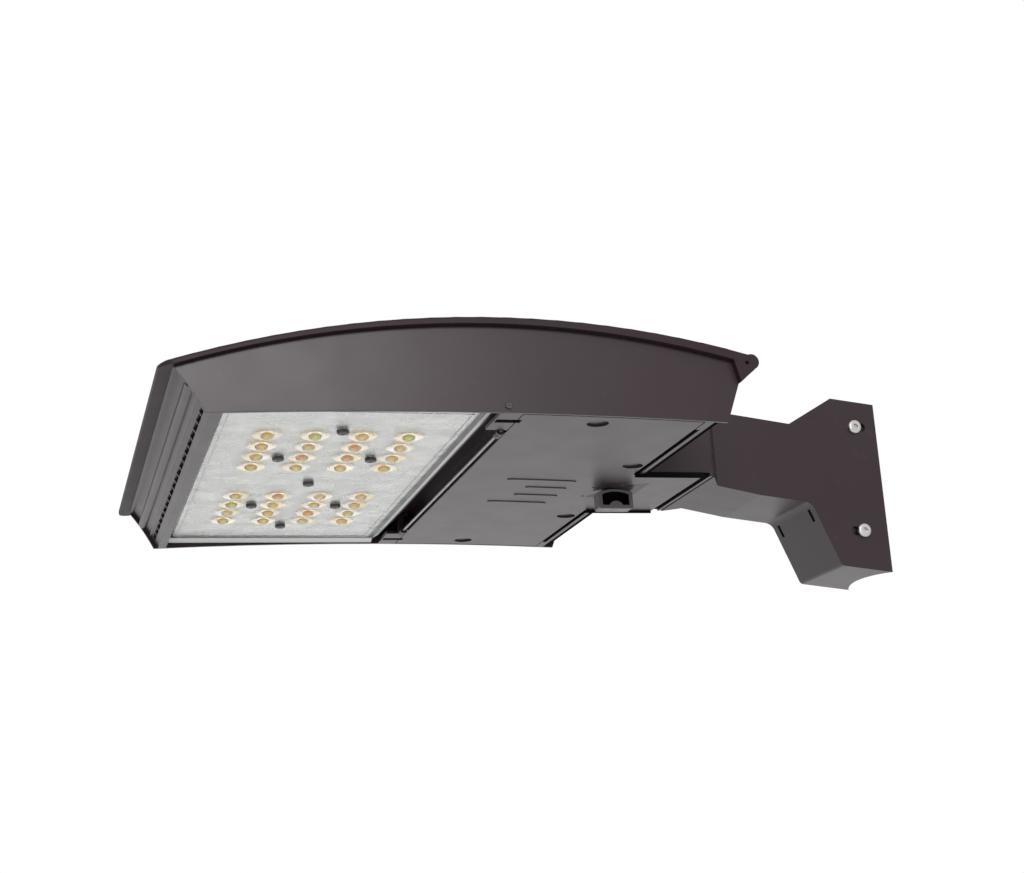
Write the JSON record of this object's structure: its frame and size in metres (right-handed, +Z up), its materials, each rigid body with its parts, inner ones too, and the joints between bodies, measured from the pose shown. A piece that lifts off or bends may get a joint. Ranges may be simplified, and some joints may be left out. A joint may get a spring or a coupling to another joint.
{
  "type": "led area light",
  "caption": "Arched-top LED area light on a short pole arm, with a recessed domed lens panel, a hinged driver door with a sliding latch, and a saddle bracket for a round pole.",
  "frame": {"origin": "centre of the bracket's pole face, midway between the two pole bolt holes", "axes": "+X out from the pole along the arm to the head, +Y to the side that the picture shows, +Z up"},
  "size_m": [0.7304, 0.5228, 0.1783],
  "materials": {
    "bronze_paint": "semi-gloss dark bronze powder coat",
    "aluminium_board": "white solder-masked aluminium",
    "cast_fin": "as-cast, lightly oxidised",
    "phosphor": "yellow phosphor",
    "clear_lens": "clear moulded optic",
    "seal_rubber": "soft matt",
    "seal_silicone": "white silicone",
    "dark_screw": "black oxide",
    "stainless": "turned stainless",
    "zinc_steel": "zinc plated",
    "driver_case": "plain metal case",
    "terminal_plastic": "moulded nylon",
    "surge_plastic": "potted plastic case",
    "lead_black": "pvc insulation",
    "lead_red": "pvc insulation"
  },
  "bodies": {
    "head": {"top_cover": "bronze_paint", "housing": "bronze_paint", "cover_screws": "zinc_steel", "heat_sink": "cast_fin", "sink_screws": "zinc_steel", "led_board_near": "aluminium_board", "led_board_far": "aluminium_board", "led_emitters": "phosphor", "lens_gasket": "seal_silicone", "lens_border": "seal_silicone", "lens_plate": "clear_lens", "lens_screws": "dark_screw", "hinge_rod": "stainless", "hinge_brackets": "bronze_paint", "hinge_screws": "dark_screw", "side_screws": "dark_screw", "latch_keeper": "zinc_steel", "keeper_screws": "zinc_steel", "gear_tray": "zinc_steel", "tray_screws": "zinc_steel", "led_driver": "driver_case", "driver_screws": "zinc_steel", "terminal_block": "terminal_plastic", "surge_protector": "surge_plastic", "supply_leads": "lead_black", "surge_leads": "lead_black", "led_leads": "lead_red", "lead_grommet": "seal_rubber", "entry_grommet": "seal_rubber", "arm": "bronze_paint", "neck_gasket": "seal_rubber", "arm_bolts": "zinc_steel", "pole_bracket": "bronze_paint", "side_bolts": "stainless", "clamp_nuts": "zinc_steel"},
    "door": {"driver_door": "bronze_paint", "door_gasket": "seal_rubber", "latch_guides": "zinc_steel", "guide_screws": "zinc_steel", "latch_spring": "stainless"},
    "latch": {"latch_slide": "stainless", "latch_grip": "bronze_paint"}
  },
  "joints": [
    {"name": "door_hinge", "type": "hinge", "parent": "head", "child": "door", "pos_m": [0.427, 0, 0], "axis": [0, -1, 0], "range_deg": [0, 95]},
    {"name": "latch_pull", "type": "slide", "parent": "door", "child": "latch", "axis": [1, 0, 0], "range_m": [0, 0.006], "stiffness_N_per_m": 300}
  ]
}
